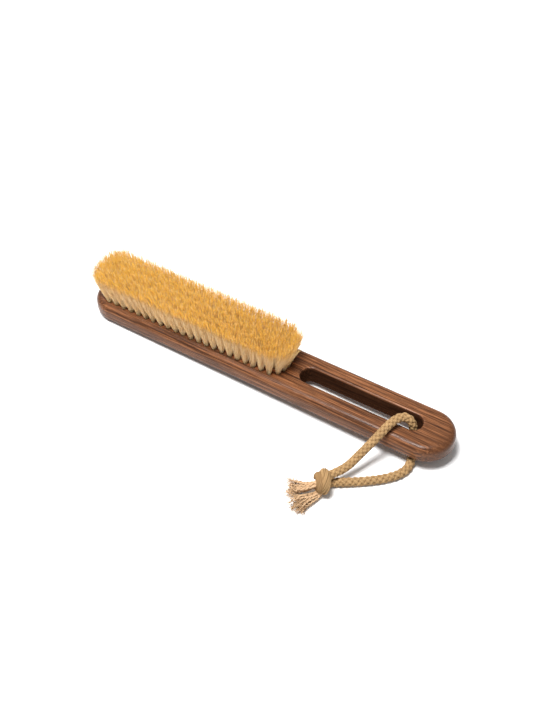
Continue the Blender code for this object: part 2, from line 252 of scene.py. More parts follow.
def wood_group():
    """Straight-grained dark wood in millimetres along X: rings, streaks and pores."""
    tree, w, given, out = group(
        "straight_grain",
        {"Place": "vector", "Wood": "colour", "Streak": "colour", "Vein": "colour"},
        {"Colour": "colour", "Height": "value", "Roughness": "value"})
    place = given["Place"]
    drift = w.noise(w.vector("MULTIPLY", place, (0.010, 0.06, 0.06)), 1.0, 2.0)
    sway = w.math("MULTIPLY", w.math("SUBTRACT", drift, 0.5), RING_SWAY)
    parts = w.node("ShaderNodeSeparateXYZ", {"Vector": place}).outputs
    across = w.math("ADD", w.math("ADD", parts["Y"], TREE_HEART[0]), sway)
    down = w.math("ADD", parts["Z"], TREE_HEART[1])
    distance = w.math("SQRT", w.math("ADD", w.math("MULTIPLY", across, across),
                                     w.math("MULTIPLY", down, down)))
    ring = w.math("FRACT", w.math("DIVIDE", distance, RING_WIDTH))
    late = w.math("MULTIPLY", w.between(ring, 0.35, 0.93), w.between(ring, 1.0, 0.95))
    wide = w.noise(w.vector("MULTIPLY", place, (0.013, 0.22, 0.22)), 1.0, 3.0, 0.6)
    main = w.noise(w.vector("MULTIPLY", place, (0.017, 1.05, 1.05)), 1.0, 3.0, 0.6)
    fine = w.noise(w.vector("MULTIPLY", place, (0.040, 2.7, 2.7)), 1.0, 3.0, 0.65)
    pore = w.noise(w.vector("MULTIPLY", place, (0.11, 3.4, 3.4)), 1.0, 2.0, 0.5)
    mixed = w.math("MULTIPLY_ADD", main, 0.5, w.math(
        "MULTIPLY_ADD", fine, 0.36, w.math("MULTIPLY", wide, 0.14)))
    light = w.between(mixed, 0.47, 0.60)
    dark = w.between(mixed, 0.50, 0.41)
    colour = w.blend(w.math("MULTIPLY", light, 0.85), given["Wood"], given["Streak"])
    colour = w.blend(w.math("MULTIPLY", dark, 0.75), colour, given["Vein"])
    colour = w.blend(w.math("MULTIPLY", late, 0.45), colour, given["Vein"])
    pores = w.between(pore, 0.585, 0.66)
    colour = w.blend(w.math("MULTIPLY", pores, 0.75), colour, given["Vein"])
    ends = w.between(w.math("ABSOLUTE", parts["X"]), 158.0, 173.0)
    colour = w.blend(w.math("MULTIPLY", ends, 0.6), colour, given["Wood"])
    colour = w.blend(w.math("MULTIPLY", ends, 0.3), colour, given["Vein"])
    height = w.math("SUBTRACT", w.math("MULTIPLY", fine, 0.35), pores)
    height = w.math("MULTIPLY", height, w.math("SUBTRACT", 1.0, ends))
    w.put(out.inputs["Colour"], colour)
    w.put(out.inputs["Height"], height)
    w.put(out.inputs["Roughness"], w.math(
        "ADD", w.math("MULTIPLY", pores, 0.2), w.between(fine, 0.3, 0.7, 0.23, 0.34)))
    return tree


def fibre_group():
    """Fine fibres that run along a strand and twist round it, from the strand's map."""
    tree, w, given, out = group(
        "twisted_fibres",
        {"Map": "vector", "Length": "value", "Twist": "value", "Tone": "value",
         "Fibre": "colour", "Shade": "colour"},
        {"Colour": "colour", "Height": "value"})
    parts = w.node("ShaderNodeSeparateXYZ", {"Vector": given["Map"]}).outputs
    along = w.math("MULTIPLY", parts["X"], given["Length"])
    turn = w.math("MULTIPLY", w.math("ADD", parts["Y"],
                                     w.math("MULTIPLY", along, given["Twist"])), math.tau)
    spot = w.node("ShaderNodeCombineXYZ", {
        "X": w.math("MULTIPLY", w.math("COSINE", turn), 2.2),
        "Y": w.math("MULTIPLY", w.math("SINE", turn), 2.2),
        "Z": w.math("ADD", w.math("MULTIPLY", along, 0.35),
                    w.math("MULTIPLY", given["Tone"], 40.0))}).outputs[0]
    fibres = w.noise(spot, 1.0, 3.0, 0.7)
    ply = w.math("ABSOLUTE", w.math("SINE", w.math("MULTIPLY", turn, 1.5)))
    height = w.math("ADD", w.math("MULTIPLY", ply, 0.6), w.math("MULTIPLY", fibres, 0.7))
    tone = w.math("MULTIPLY_ADD", given["Tone"], 0.35, w.math(
        "MULTIPLY", w.between(height, 0.25, 0.95), 0.75), clamp=True)
    w.put(out.inputs["Colour"], w.blend(tone, given["Shade"], given["Fibre"]))
    w.put(out.inputs["Height"], height)
    return tree


def speckle_group():
    """Soft uneven tone over a surface, for metal and the floor."""
    tree, w, given, out = group(
        "uneven_tone", {"Place": "vector", "Colour": "colour", "Amount": "value"},
        {"Colour": "colour", "Mask": "value"})
    cloud = w.noise(given["Place"], 1.0, 4.0, 0.6)
    shade = w.blend(1.0, given["Colour"], (0.62, 0.60, 0.58), "MULTIPLY")
    amount = w.math("MULTIPLY", w.between(cloud, 0.35, 0.75), given["Amount"])
    w.put(out.inputs["Colour"], w.blend(amount, given["Colour"], shade))
    w.put(out.inputs["Mask"], cloud)
    return tree


def shared(name, build):
    return bpy.data.node_groups.get(name) or build()


def new_material(name):
    """A material with only its output and a Principled shader joined to it."""
    material = bpy.data.materials.new(name)
    material.use_nodes = True
    material.node_tree.nodes.clear()
    w = Wiring(material.node_tree)
    shader = w.node("ShaderNodeBsdfPrincipled")
    output = w.node("ShaderNodeOutputMaterial", {"Surface": shader.outputs[0]})
    output.target = "ALL"
    return material, w, shader


def millimetres(w, turned=0.0):
    """Object coordinates in millimetres, turned back to the boards if they are tipped."""
    place = w.node("ShaderNodeTexCoord").outputs["Object"]
    return w.node("ShaderNodeMapping", {
        "Vector": place, "Rotation": (0, turned, 0), "Scale": (1000, 1000, 1000)}
    ).outputs[0]


def wood_material():
    body = bpy.context.scene.brush_body
    material, w, shader = new_material("oiled_wood")
    tilt = -lying().to_euler().y
    grain = w.node("ShaderNodeGroup", node_tree=shared("straight_grain", wood_group))
    for name, value in (("Place", millimetres(w, tilt)), ("Wood", tuple(body.wood)),
                        ("Streak", tuple(body.streak)), ("Vein", tuple(body.vein))):
        w.put(grain.inputs[name], value)
    inside = w.node("ShaderNodeAttribute", attribute_name="cut").outputs["Fac"]
    # Painted shade: the slot's walls are darkened in colour as the shade inside the narrow
    # slot; they are also made rough and without shine.
    colour = w.blend(w.math("MULTIPLY", inside, 0.78), grain.outputs["Colour"],
                     (0.026, 0.010, 0.006))
    bump = w.node("ShaderNodeBump", {"Strength": 0.35, "Distance": 0.00012,
                                     "Height": grain.outputs["Height"]})
    w.put(shader.inputs["Base Color"], colour)
    w.put(shader.inputs["Roughness"], w.math(
        "MAXIMUM", grain.outputs["Roughness"], w.math("MULTIPLY", inside, 0.8)))
    w.put(shader.inputs["Specular IOR Level"], w.between(inside, 0.0, 1.0, 0.16, 0.0))
    w.put(shader.inputs["Normal"], bump.outputs[0])
    return material


def bristle_material():
    bristle = bpy.context.scene.brush_bristle
    material, w, shader = new_material("drawn_bristle")
    share = w.node("ShaderNodeAttribute", attribute_name="share").outputs["Fac"]
    tone = w.node("ShaderNodeAttribute", attribute_name="tone").outputs["Fac"]
    golden = w.between(w.math("MULTIPLY_ADD", tone, 0.16, share), 0.74, 1.06)
    colour = w.blend(golden, tuple(bristle.root), tuple(bristle.tip))
    paler = w.between(tone, 0.72, 1.0)
    colour = w.blend(w.math("MULTIPLY", paler, 0.45), colour, (0.93, 0.80, 0.52))
    darker = w.between(tone, 0.28, 0.0)
    colour = w.blend(w.math("MULTIPLY", darker, w.between(golden, 0, 1, 0.15, 0.6)),
                     colour, (0.52, 0.25, 0.035))
    w.put(shader.inputs["Base Color"], colour)
    w.put(shader.inputs["Roughness"], w.between(tone, 0.0, 1.0, 0.28, 0.45))
    w.put(shader.inputs["Specular IOR Level"], 0.6)
    through = w.node("ShaderNodeBsdfTranslucent", {"Color": colour})
    both = w.node("ShaderNodeMixShader", {0: 0.5, 1: shader.outputs[0],
                                          2: through.outputs[0]})
    shadow = w.node("ShaderNodeLightPath").outputs["Is Shadow Ray"]
    clear = w.node("ShaderNodeBsdfTransparent", {"Color": colour})
    passing = w.math("MULTIPLY", shadow, w.math(
        "MULTIPLY", w.between(share, 0.4, 1.0, 0.85, 0.42),
        w.between(share, 0.05, 0.30, 0.15, 1.0)))
    both = w.node("ShaderNodeMixShader", {0: passing, 1: both.outputs[0],
                                          2: clear.outputs[0]})
    w.put(material.node_tree.get_output_node("ALL").inputs["Surface"], both.outputs[0])
    return material


def hemp_material(name, fibre, shade, length, twist):
    material, w, shader = new_material(name)
    fibres = w.node("ShaderNodeGroup", node_tree=shared("twisted_fibres", fibre_group))
    tone = w.node("ShaderNodeAttribute", attribute_name="tone").outputs["Fac"]
    for key, value in (("Map", w.node("ShaderNodeUVMap", uv_map="UVMap").outputs[0]),
                       ("Length", length), ("Twist", twist), ("Tone", tone),
                       ("Fibre", tuple(fibre)), ("Shade", tuple(shade))):
        w.put(fibres.inputs[key], value)
    bump = w.node("ShaderNodeBump", {"Strength": 0.6, "Distance": 0.00015,
                                     "Height": fibres.outputs["Height"]})
    depth = w.node("ShaderNodeAttribute", attribute_name="depth").outputs["Fac"]
    # Painted shade: the hemp is darkened near the middle line, in the crevices between the
    # strands.
    crevice_shade = w.math("MULTIPLY", w.between(depth, 0.96, 0.76), 0.5)
    w.put(shader.inputs["Base Color"],
          w.blend(crevice_shade, fibres.outputs["Colour"], (0.16, 0.08, 0.03)))
    w.put(shader.inputs["Roughness"], w.between(tone, 0.0, 1.0, 0.82, 0.95))
    w.put(shader.inputs["Specular IOR Level"], 0.2)
    w.put(shader.inputs["Normal"], bump.outputs[0])
    return material


def brass_material():
    material, w, shader = new_material("drawn_brass")
    tone = w.node("ShaderNodeGroup", node_tree=shared("uneven_tone", speckle_group))
    w.put(tone.inputs["Place"], millimetres(w))
    w.put(tone.inputs["Colour"], (0.72, 0.53, 0.24))
    w.put(tone.inputs["Amount"], 0.5)
    w.put(shader.inputs["Base Color"], tone.outputs["Colour"])
    w.put(shader.inputs["Metallic"], 1.0)
    w.put(shader.inputs["Roughness"], w.between(tone.outputs["Mask"], 0.3, 0.7, 0.3, 0.5))
    return material


# Meshes -----------------------------------------------------------------------------


def add_object(name, mesh, material=None):
    made = bpy.data.objects.new(name, mesh)
    bpy.context.scene.collection.objects.link(made)
    if material is not None:
        mesh.materials.clear()
        mesh.materials.append(material)
    return made


def baked(made):
    """The object's mesh with its modifiers applied."""
    bpy.context.view_layer.update()
    graph = bpy.context.evaluated_depsgraph_get()
    return bpy.data.meshes.new_from_object(made.evaluated_get(graph), depsgraph=graph)


def as_mesh(name, bm):
    mesh = bpy.data.meshes.new(name)
    bm.to_mesh(mesh)
    bm.free()
    return mesh


def finished(name, bm, material=None):
    return add_object(name, as_mesh(name, bm), material)


def repeated(name, mesh, times):
    """One mesh that holds another so many times over, to be moved apart later."""
    bm = bmesh.new()
    for _ in range(times):
        bm.from_mesh(mesh)
    return as_mesh(name, bm)


def coordinates(mesh):
    flat = np.empty(len(mesh.vertices) * 3)
    mesh.vertices.foreach_get("co", flat)
    return flat.reshape(-1, 3)


def add_values(mesh, name, values):
    """One number for each point of the mesh, for its material to read."""
    layer = mesh.attributes.new(name, "FLOAT", "POINT")
    layer.data.foreach_set("value", np.asarray(values, np.float32))


def outline(bm, length, width, middle, height, segments=96):
    """A closed outline with straight sides and round ends."""
    half_step = math.pi / segments
    made = bmesh.ops.create_circle(bm, cap_ends=False, segments=segments, radius=width / 2,
                                   matrix=Matrix.Rotation(half_step, 4, "Z"))["verts"]
    reach = (length - width) / 2
    for vert in made:
        vert.co.y /= math.cos(half_step)
        vert.co.x += middle + math.copysign(reach, vert.co.x)
        vert.co.z = height
    return made


def slot_middle(body):
    return body.length / 2 - body.slot_to_end - body.slot_length / 2


def shaped_boards(body):
    """Both boards as one solid: round ends, rounded edges and the handle's slot."""
    bm = bmesh.new()
    outline(bm, body.length, body.width, 0, 0)
    slot = outline(bm, body.slot_length, body.slot_width, slot_middle(body), 0)
    flat = bmesh.ops.bridge_loops(bm, edges=bm.edges[:])["faces"]
    slot_rim = {tuple(round(x, 6) for x in vert.co.xy) for vert in slot}
    raised = bmesh.ops.extrude_face_region(bm, geom=flat)["geom"]
    top = [piece for piece in raised if isinstance(piece, bmesh.types.BMVert)]
    bmesh.ops.translate(bm, verts=top, vec=(0, 0, body.thickness))
    bmesh.ops.recalc_face_normals(bm, faces=bm.faces[:])
    rims = [edge for edge in bm.edges if edge.is_manifold
            and edge.calc_face_angle() > math.radians(60)]
    at_slot = [edge for edge in rims
               if tuple(round(x, 6) for x in edge.verts[0].co.xy) in slot_rim]
    outside = [edge for edge in rims if edge not in at_slot]
    for edges, radius, segments in ((outside, body.edge_radius, 9),
                                    (at_slot, body.slot_rim, 5)):
        bmesh.ops.bevel(bm, geom=edges, offset=radius, offset_type="OFFSET",
                        segments=segments, profile=0.5, affect="EDGES", material=-1)
    return bm


def cut_board(bm, height, keep_above):
    """Keeps one board of the two and closes its glued face, its edge eased a little."""
    cut = bmesh.ops.bisect_plane(
        bm, geom=bm.verts[:] + bm.edges[:] + bm.faces[:], dist=1e-7,
        plane_co=(0, 0, height), plane_no=(0, 0, 1), clear_inner=keep_above,
        clear_outer=not keep_above)["geom_cut"]
    edges = [piece for piece in cut if isinstance(piece, bmesh.types.BMEdge)]
    bmesh.ops.bridge_loops(bm, edges=edges)
    bmesh.ops.recalc_face_normals(bm, faces=bm.faces[:])
    bmesh.ops.bevel(bm, geom=edges, offset=GLUE_EDGE, offset_type="OFFSET", segments=1,
                    profile=0.5, affect="EDGES", material=-1)
    return bm


def tuft_places(bristle, body):
    """Where each rank's tufts leave the wood, from the brush end to the handle."""
    first = -body.length / 2 + bristle.first_to_end
    last = first + (bristle.ranks - 1) * bristle.rank_pitch
    middle = (bristle.rows - 1) / 2
    rows = [row - middle for row in range(bristle.rows)]
    straight = [[(first + rank * bristle.rank_pitch, row * bristle.row_pitch)
                 for row in rows] for rank in range(bristle.ranks)]

    def bowed(beside, side):
        reach = [bristle.end_gap + bristle.end_bow * (1 - (row / middle) ** 2)
                 for row in rows]
        return [(beside + side * far, row * bristle.end_row_pitch)
                for row, far in zip(rows, reach)]

    return [bowed(first, -1), *straight, bowed(last, 1)]


def bored(board, cutters, lying_matrix):
    """The board with the cutters taken out of it, laid in its place."""
    tool = finished("cutters", cutters)
    cut = board.modifiers.new("bored", "BOOLEAN")
    cut.operation = "DIFFERENCE"
    cut.solver = "EXACT"
    cut.object = tool
    mesh = baked(board)
    board.modifiers.clear()
    board.data = mesh
    mesh.transform(lying_matrix)
    bpy.data.objects.remove(tool)
    mesh.shade_smooth()
    mesh.set_sharp_from_angle(angle=math.radians(32))
    even = board.modifiers.new("even_shading", "WEIGHTED_NORMAL")
    even.keep_sharp = True
    even.mode = "FACE_AREA"
    return board


def mark_cuts(board, body, lying_matrix):
    """Marks the slot's walls up to its rims, whose colour the wood material paints darker as
    the shade inside the narrow slot.
    """
    place = coordinates(board.data) @ np.array(lying_matrix.inverted().to_3x3()).T
    place += lying_matrix.inverted().translation
    straight = (body.slot_length - body.slot_width) / 2
    along = np.maximum(0, abs(place[:, 0] - slot_middle(body)) - straight)
    out = np.hypot(along, place[:, 1]) - body.slot_width / 2
    add_values(board.data, "cut", out < body.slot_rim * 0.4)


def distance_along(line):
    steps = np.linalg.norm(np.diff(line, axis=0), axis=1)
    return np.concatenate([[0], np.cumsum(steps)])


def smooth_line(points, gap):
    """A Catmull-Rom line through the points, as points evenly spaced along it."""
    p = np.array(points, float)
    p = np.vstack([2 * p[0] - p[1], p, 2 * p[-1] - p[-2]])
    t = np.linspace(0, 1, 40, endpoint=False)[:, None]
    spans = []
    for a, b, c, d in zip(p, p[1:], p[2:], p[3:]):
        spans.append(0.5 * (2 * b + (c - a) * t + (2 * a - 5 * b + 4 * c - d) * t ** 2
                            + (3 * b - a - 3 * c + d) * t ** 3))
    line = np.vstack([*spans, p[-2:-1]])
    done = distance_along(line)
    count = max(2, int(round(done[-1] / gap)) + 1)
    even = np.linspace(0, done[-1], count)
    return np.stack([np.interp(even, done, line[:, axis]) for axis in range(3)], 1)


def carried_frame(line):
    """Two directions square to the line at each point, carried along without twist."""
    ahead = np.gradient(line, axis=0)
    ahead /= np.linalg.norm(ahead, axis=1)[:, None]
    start = Vector(ahead[0]).orthogonal().normalized()
    side = [np.array(start)]
    for now in ahead[1:]:
        turned = side[-1] - now * side[-1].dot(now)
        side.append(turned / np.linalg.norm(turned))
    side = np.array(side)
    return side, np.cross(ahead, side)


def round_line(line, angles, radii):
    """A line that runs round another at those angles and distances."""
    side, up = carried_frame(line)
    return (line + side * (np.cos(angles) * radii)[:, None]
            + up * (np.sin(angles) * radii)[:, None])


def upright_tube(sides, top, height, rings):
    """A closed tube on the floor, of radius 1 at its foot, with so many rings between."""
    bm = bmesh.new()
    bmesh.ops.create_cone(bm, cap_ends=True, segments=sides, radius1=1, radius2=top,
                          depth=height, matrix=Matrix.Translation((0, 0, height / 2)))
    upright = [e for e in bm.edges if abs(e.verts[0].co.z - e.verts[1].co.z) > 0.5]
    bmesh.ops.subdivide_edges(bm, edges=upright, cuts=rings)
    mesh = as_mesh("upright_tube", bm)
    return mesh, coordinates(mesh)


def strands_mesh(name, lines, radii, seed, sides=6, middle=None, reach=0.004):
    """A tube bent along each line, each with a tone of its own and a map along it.

    Where a middle line is given, "depth" is 1 at the reach from it and 0 on it; the hemp
    reads it for painted shade in the crevices.
    """
    tubes = {count: upright_tube(sides, 1, count - 1, count - 2)
             for count in {len(line) for line in lines}}
    bm = bmesh.new()
    for line in lines:
        bm.from_mesh(tubes[len(line)][0])
    mesh = as_mesh(name, bm)
    places, along, turns, tones, depths = [], [], [], [], []
    rng = np.random.default_rng(seed)
    for line, radius in zip(lines, radii):
        shape = tubes[len(line)][1]
        ring = shape[:, 2].round().astype(int)
        side, up = carried_frame(line)
        thick = np.broadcast_to(radius, len(line))[ring, None]
        places.append(line[ring] + thick * (side[ring] * shape[:, :1]
                                            + up[ring] * shape[:, 1:2]))
        along.append(shape[:, 2] / (len(line) - 1))
        turns.append(np.arctan2(shape[:, 1], shape[:, 0]) / math.tau % 1.0)
        tones.append(np.full(len(shape), rng.random()))
        depths.append(np.ones(len(shape)) if middle is None else np.linalg.norm(
            places[-1] - middle[ring], axis=1) / reach)
    mesh.vertices.foreach_set("co", np.concatenate(places).ravel())
    add_values(mesh, "tone", np.concatenate(tones))
    add_values(mesh, "depth", np.concatenate(depths))
    add_map(mesh, np.concatenate(along), np.concatenate(turns))
    mesh.shade_smooth()
    mesh.update()
    return mesh


def add_map(mesh, along, turns):
    """A UV map of each vertex's share along its tube and round it, open at the seam."""
    corners = np.empty(len(mesh.loops), int)
    mesh.loops.foreach_get("vertex_index", corners)
    starts = np.empty(len(mesh.polygons), int)
    mesh.polygons.foreach_get("loop_start", starts)
    around = turns[corners]
    span = np.maximum.reduceat(around, starts) - np.minimum.reduceat(around, starts)
    sizes = np.diff(np.append(starts, len(corners)))
    seam = np.repeat(span > 0.5, sizes) & (around < 0.5)
    uv = np.stack([along[corners], around + seam], 1)
    mesh.uv_layers.new(name="UVMap").data.foreach_set("uv", uv.ravel())


BRAID_LIFT = 0.00050  # how far a strand rises over the one it crosses


def braid_lines(line, rope, strands=8):
    """A round braid: half the strands turn one way, half the other, over and under."""
    middle = rope.diameter / 2 - rope.strand_radius - BRAID_LIFT
    gone = distance_along(line)
    half = strands // 2
    lines = []
    for way in (1, -1):
        radii = middle + way * BRAID_LIFT * np.cos(gone / rope.turn * math.tau * half)
        for strand in range(half):
            angles = math.tau * strand / half + way * math.tau * gone / rope.turn
            lines.append(round_line(line, angles, radii))
    return lines


def laid_lines(line, radius, strands, turn):
    """Strands laid side by side round a line, all turning one way."""
    gone = distance_along(line)
    return [round_line(line, math.tau * strand / strands + math.tau * gone / turn,
                       radius) for strand in range(strands)]


# Operators --------------------------------------------------------------------------


class BRUSH_OT_stage(bpy.types.Operator):
    """Make the floor, the light and the camera."""
    bl_idname = "clothes_brush.stage"
    bl_label = "Stage"

    def execute(self, context):
        stage = context.scene.brush_stage
        material, w, shader = new_material("paper_floor")
        tone = w.node("ShaderNodeGroup", node_tree=shared("uneven_tone", speckle_group))
        w.put(tone.inputs["Place"], millimetres(w))
        w.put(tone.inputs["Colour"], tuple(stage.floor))
        w.put(tone.inputs["Amount"], 0.01)
        w.put(shader.inputs["Base Color"], tone.outputs["Colour"])
        w.put(shader.inputs["Roughness"], 0.9)
        w.put(shader.inputs["Specular IOR Level"], 0.1)
        bm = bmesh.new()
        bmesh.ops.create_grid(bm, x_segments=8, y_segments=8, size=3.0)
        floor = finished("floor", bm, material)

        world = bpy.data.worlds.new("studio")
        context.scene.world = world
        world.use_nodes = True
        world.node_tree.nodes.clear()
        w = Wiring(world.node_tree)
        sees = w.node("ShaderNodeLightPath").outputs["Is Camera Ray"]
        strength = w.between(sees, 0.0, 1.0, stage.dome, 1.0)
        sky = w.node("ShaderNodeBackground", {"Color": (1, 1, 1), "Strength": strength})
        w.node("ShaderNodeOutputWorld", {"Surface": sky.outputs[0]})

        lamps = (("overhead_softbox", stage.key, 0.48, (-0.08, -0.28, 1.30)),
                 ("side_softbox", stage.key * 0.10, 0.6, (-1.1, 0.5, 0.9)))
        for name, power, width, place in lamps:
            lamp = bpy.data.lights.new(name, "AREA")
            lamp.energy = power
            lamp.size = width
            made = bpy.data.objects.new(name, lamp)
            made.location = place
            made.rotation_mode = "QUATERNION"
            made.rotation_quaternion = (-Vector(place)).to_track_quat("-Z", "Y")
            context.scene.collection.objects.link(made)

        lens = bpy.data.cameras.new("camera")
        lens.lens = 68.35
        lens.shift_x = -0.002
        lens.shift_y = 0.026
        camera = bpy.data.objects.new("camera", lens)
        camera.location = (0.4038, -0.6438, 0.8711)
        camera.rotation_mode = "QUATERNION"
        camera.rotation_quaternion = (-camera.location).to_track_quat("-Z", "Y")
        context.scene.collection.objects.link(camera)
        context.scene.camera = camera
        context.scene.view_settings.view_transform = "Standard"
        return {"FINISHED"}


class BRUSH_OT_body(bpy.types.Operator):
    """Shape the two boards, drill the tuft holes and cut the wires' pocket."""
    bl_idname = "clothes_brush.body"
    bl_label = "Handle block and back cover"

    def execute(self, context):
        body, bristle = context.scene.brush_body, context.scene.brush_bristle
        place = lying()
        wood = wood_material()
        block = finished("drilled_block", cut_board(
            shaped_boards(body), body.cover + BOARD_GAP, True), wood)
        cover = finished("back_board", cut_board(
            shaped_boards(body), body.cover - BOARD_GAP, False), wood)
        drills = bmesh.new()
        for rank in tuft_places(bristle, body):
            for x, y in rank:
                bmesh.ops.create_cone(
                    drills, cap_ends=True, segments=20, radius1=bristle.hole_radius,
                    radius2=bristle.hole_radius, depth=body.thickness,
                    matrix=Matrix.Translation(
                        (x, y, body.cover + body.thickness / 2 - DRILL_START)))
        bored(block, drills, place)
        inverse = place.inverted()
        corners = [inverse @ corner for number in range(1, bristle.rows + 1)
                   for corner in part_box(f"drawing_wire_{number}")]
        low = Vector([min(c[axis] for c in corners) for axis in range(3)])
        high = Vector([max(c[axis] for c in corners) for axis in range(3)])
        pocket = bmesh.new()
        bmesh.ops.create_cube(pocket, size=1)
        room = Vector((high.x - low.x + POCKET_ROOM, high.y - low.y + POCKET_ROOM,
                       2 * POCKET_DEPTH))
        bmesh.ops.scale(pocket, vec=room, verts=pocket.verts[:])
        bmesh.ops.translate(pocket, vec=((low.x + high.x) / 2, (low.y + high.y) / 2,
                                         body.cover), verts=pocket.verts[:])
        bored(cover, pocket, place)
        for board, node in ((block, "handle_block"), (cover, "back_cover")):
            mark_cuts(board, body, place)
            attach(board, "root")
            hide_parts(node)
        return {"FINISHED"}


class BRUSH_OT_bristles(bpy.types.Operator):
    """Draw the tufts, hair by hair, a rank at a time."""
    bl_idname = "clothes_brush.bristles"
    bl_label = "Bristle ranks"

    def execute(self, context):
        body, bristle = context.scene.brush_body, context.scene.brush_bristle
        place = lying()
        material = bristle_material()
        hair, shape = upright_tube(3, 0.4, 1.0, 5)
        bundle = repeated("bundle", hair, bristle.hairs)
        rng = np.random.default_rng(HAIR_SEED)
        for number, rank in enumerate(tuft_places(bristle, body), start=1):
            name = f"bristle_rank_{number:02d}"
            mesh = repeated(f"hair_rank_{number:02d}", bundle, len(rank))
            hairs = [bent_hairs(shape, x, y, bristle, body, rng) for x, y in rank]
            co = np.concatenate([made[0] for made in hairs])
            mesh.vertices.foreach_set("co", co.ravel())
            for label, index in (("share", 1), ("tone", 2)):
                add_values(mesh, label, np.concatenate([made[index] for made in hairs]))
            mesh.transform(place)
            mesh.shade_smooth()
            mesh.update()
            made = add_object(f"hair_rank_{number:02d}", mesh, material)
            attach(made, "root")
            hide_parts(name)
        return {"FINISHED"}


# Each pair of numbers and its scale turn a wisp's place into a number from 0 to 1.
SCATTERING = (((12.9898, 78.233), 43758.5453), ((39.346, 11.135), 24634.6345))
GOLDEN_ANGLE = 2.39996
HAIR_START = -0.0015  # inside the hole
HAIR_BOW = 0.0004
TIP_SCATTER = 0.00075
HEIGHT_SCATTER, WISP_STEP = 0.00055, 0.0024
STRAYS, STRAY_SCATTER, STRAY_HEIGHT = 0.05, 0.0016, 0.0010
ROOT_SCATTER, TIP_SPREAD = 0.06, 0.16  # as shares of a tuft's radius
GATHERING = (0.35, 0.8)  # how far a tip moves to its wisp's heart
FAN_CURVE = 1.5


def bent_hairs(shape, x, y, bristle, body, rng):
    """One tuft's hairs: positions, each point's share of the height, each hair's tone."""
    count = bristle.hairs
    number = np.arange(count)
    spread = np.sqrt((number + 0.5) / count)
    angle = number * GOLDEN_ANGLE + rng.uniform(0, math.tau)
    root = np.stack([spread * np.cos(angle), spread * np.sin(angle)], 1)
    root += rng.normal(0, ROOT_SCATTER, root.shape)
    upright = -body.length / 2 + bristle.upright_to_end
    lean = bristle.lean * math.tanh((x - upright) / bristle.lean_reach)
    lean *= bristle.lean_back if lean > 0 else 1.0
    head = np.array([x + lean, y * bristle.fan])
    tip = root * bristle.tip_radius * rng.normal(1.0, TIP_SPREAD, (count, 1))
    tip += rng.normal(0, TIP_SCATTER, tip.shape) + head
    cell = np.round(tip / bristle.wisp)
    first, second = (np.sin(cell @ np.array(pair)) * scale % 1.0
                     for pair, scale in SCATTERING)
    heart = (cell + np.stack([first, second], 1) - 0.5) * bristle.wisp
    tip += (heart - tip) * rng.uniform(*GATHERING, (count, 1))
    stray = rng.random(count) < STRAYS
    tip[stray] += rng.normal(0, STRAY_SCATTER, (stray.sum(), 2))
    tall = bristle.height + (first - 0.5) * WISP_STEP
    tall += rng.normal(0, HEIGHT_SCATTER, count)
    tall[stray] += rng.normal(0, STRAY_HEIGHT, stray.sum())
    last = -body.length / 2 + bristle.first_to_end + bristle.ranks * bristle.rank_pitch
    if x > last - bristle.rank_pitch / 2:
        splayed = rng.random(count) ** 4 * bristle.splay
        tip[:, 0] += splayed
        tall -= splayed * 0.5
    up = HAIR_START + (tall[:, None] - HAIR_START) * shape[:, 2]
    rise = np.clip(up / bristle.height, 0, 1.1)
    opening = 1 - (1 - np.clip(rise, 0, 1)) ** FAN_CURVE
    settle = np.clip(rise, 0, 1) ** FAN_CURVE
    foot = np.array([x, y]) + root * bristle.root_radius * 0.92
    spine = foot[:, None] + (head - (x, y)) * rise[..., None]
    spine += (root * (bristle.tip_radius - bristle.root_radius))[:, None] * opening[..., None]
    spine += (tip - root * bristle.tip_radius - head)[:, None] * settle[..., None]
    bow = rng.normal(0, HAIR_BOW, (count, 1, 2))
    spine += (rise * (1 - rise) * 4)[..., None] * bow
    thick = bristle.hair_radius * rng.uniform(0.8, 1.2, count)[:, None, None]
    flat = spine + shape[:, :2][None] * thick
    co = np.concatenate([flat, (body.thickness + up)[..., None]], 2)
    tone = np.clip(second + rng.normal(0, 0.2, count), 0, 1)
    return co.reshape(-1, 3), rise.ravel(), np.repeat(tone, len(shape))


class BRUSH_OT_wires(bpy.types.Operator):
    """Give the drawing wires in the pocket their brass."""
    bl_idname = "clothes_brush.wires"
    bl_label = "Drawing wires"

    def execute(self, context):
        brass = brass_material()
        for number in range(1, context.scene.brush_bristle.rows + 1):
            node = frame["nodes"][f"drawing_wire_{number}"]
            node.data.materials.clear()
            node.data.materials.append(brass)
        return {"FINISHED"}


def rope_line(gap):
    """The rope's whole line, and the number of its point in the slot."""
    whole = smooth_line(np.array(LEG_OVER + LEG_UNDER) * MM, gap)
    return whole, int(np.linalg.norm(whole - np.array(SLOT_POINT), axis=1).argmin())


class BRUSH_OT_rope(bpy.types.Operator):
    """Braid the rope loop through the slot, as one braid in two legs."""
    bl_idname = "clothes_brush.rope"
    bl_label = "Rope loop"

    def execute(self, context):
        rope = context.scene.brush_rope
        whole, split = rope_line(0.0004)
        lines = braid_lines(whole, rope)
        hemp = hemp_material("braided_hemp", rope.hemp, rope.shade, length=150.0,
                             twist=0.35)
        for name, part in (
                ("rope_leg_over", slice(None, split + 1)),
                ("rope_leg_under", slice(split, None))):
            middle = whole[part]
            strands = [line[part] for line in lines]
            radii = [rope.strand_radius] * len(strands) + [ROPE_CORE]
            mesh = strands_mesh(name, [*strands, middle], radii, ROPE_SEED, sides=8,
                                middle=middle, reach=rope.diameter / 2)
            leg = add_object(name, mesh, hemp)
            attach(leg, "root")
            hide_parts("rope_loop")
        return {"FINISHED"}


KNOT_SLANT = 0.0010  # how far each wrap leans along the legs
KNOT_YARNS, KNOT_LAY, KNOT_DRIFT = 17, 0.045, 0.00018
KNOT_YARN_RADII = (0.00054, 0.00070)
KNOT_REACH = 0.0041  # from a wrap's middle to its outside


